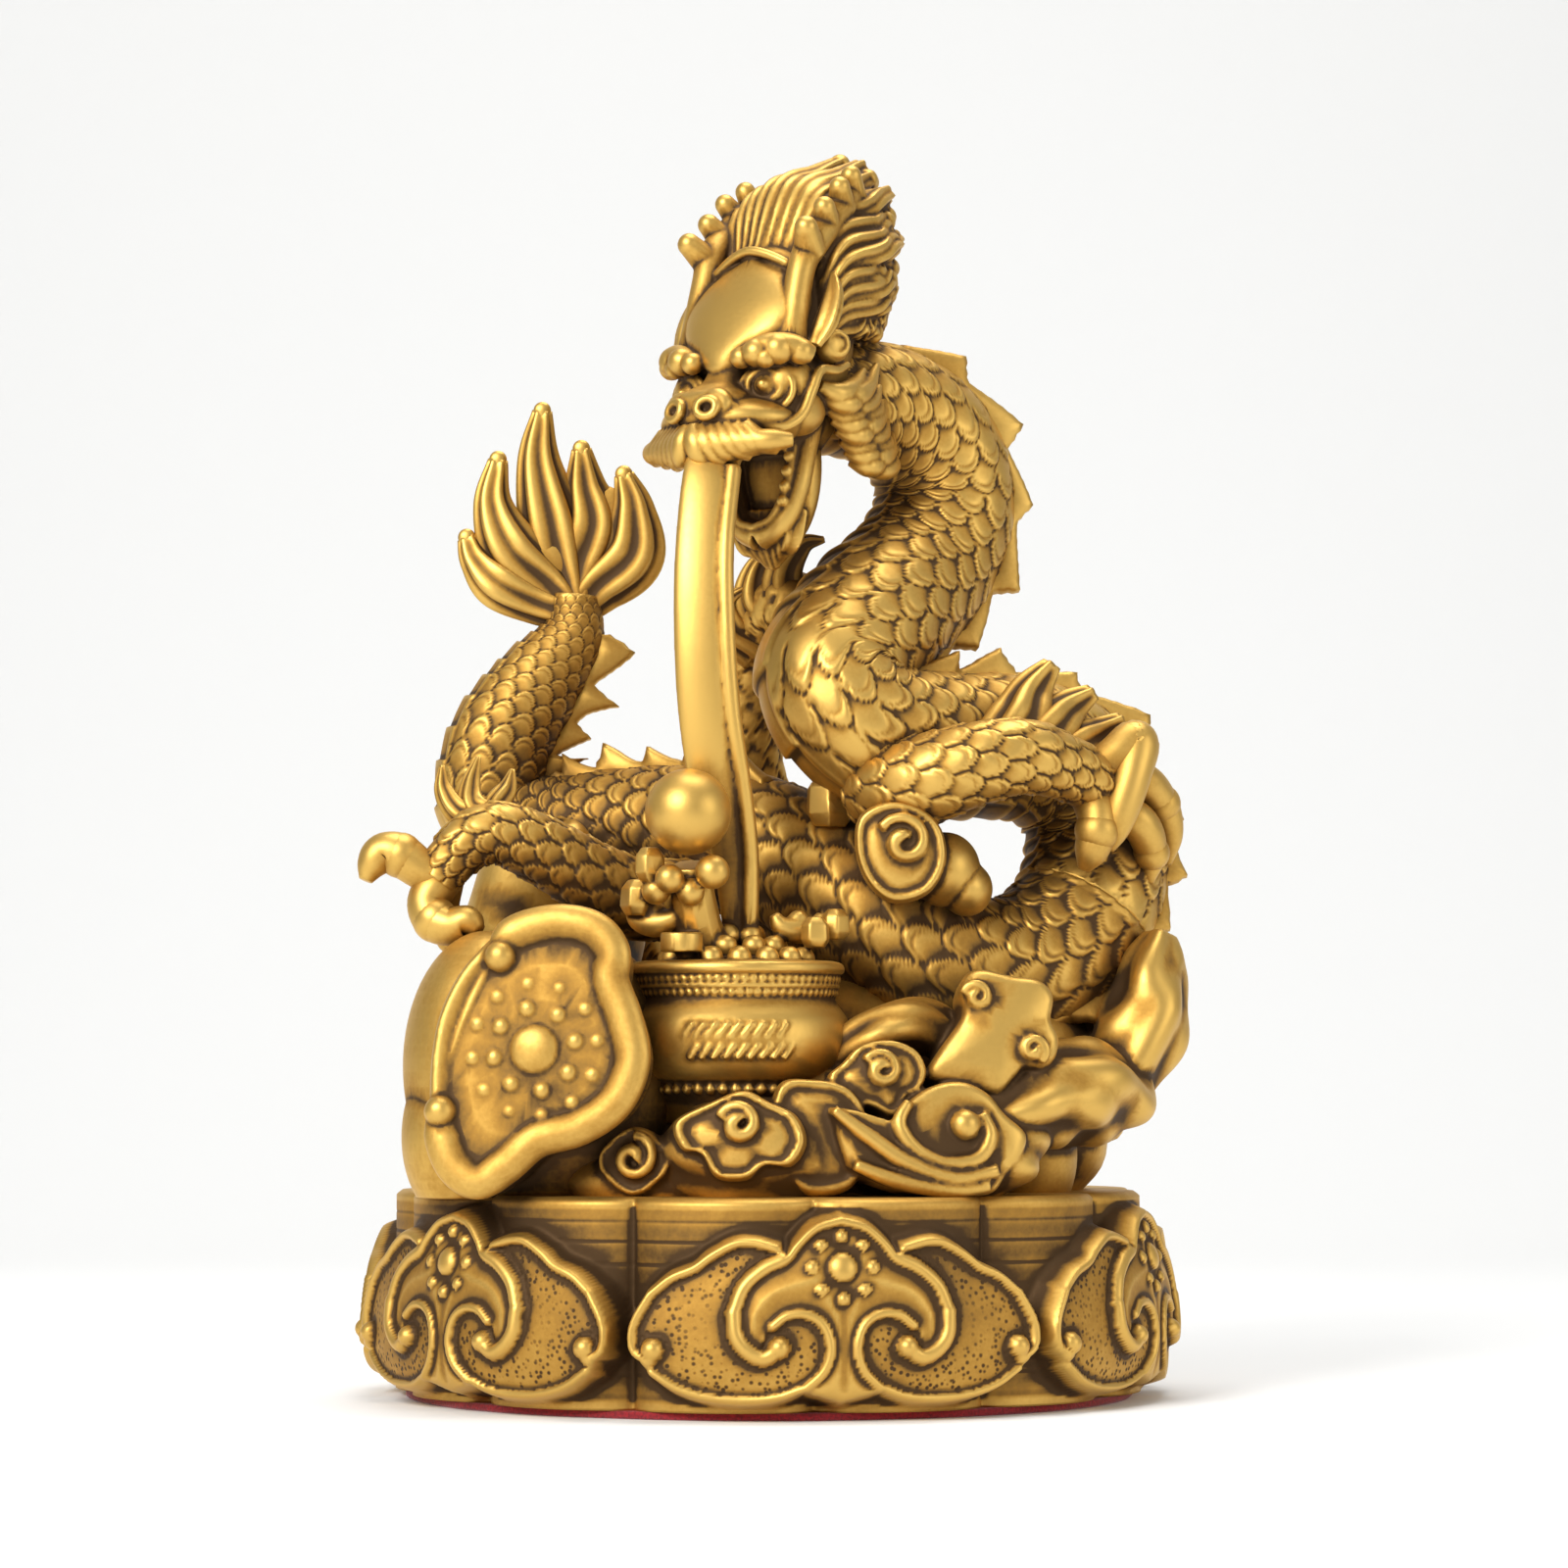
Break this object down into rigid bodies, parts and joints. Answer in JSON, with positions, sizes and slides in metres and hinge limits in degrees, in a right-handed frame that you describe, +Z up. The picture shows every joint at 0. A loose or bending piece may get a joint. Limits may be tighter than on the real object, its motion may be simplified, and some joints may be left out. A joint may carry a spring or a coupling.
{
  "type": "dragon sculpture",
  "caption": "Cast brass dragon ornament coiled over clouds, pouring a stream into a treasure pot beside a ruyi head, on a round plinth with ruyi panels and a felt pad underneath",
  "frame": {"origin": "middle of the underside, where the felt pad rests on the table", "axes": "+Z up, -Y is the front that the pot and the ruyi head face, +X to the viewer's right"},
  "size_m": [0.1347, 0.1338, 0.2021],
  "materials": {
    "antique_brass": "cast and hand polished, with brown patina in the recesses",
    "plinth_brass": "cast, brushed on the raised rims, with brown patina and a stippled ground",
    "red_felt": "glued felt"
  },
  "bodies": {
    "root": {"dragon_casting": "antique_brass", "plinth": "plinth_brass", "felt_pad": "red_felt"}
  },
  "joints": []
}
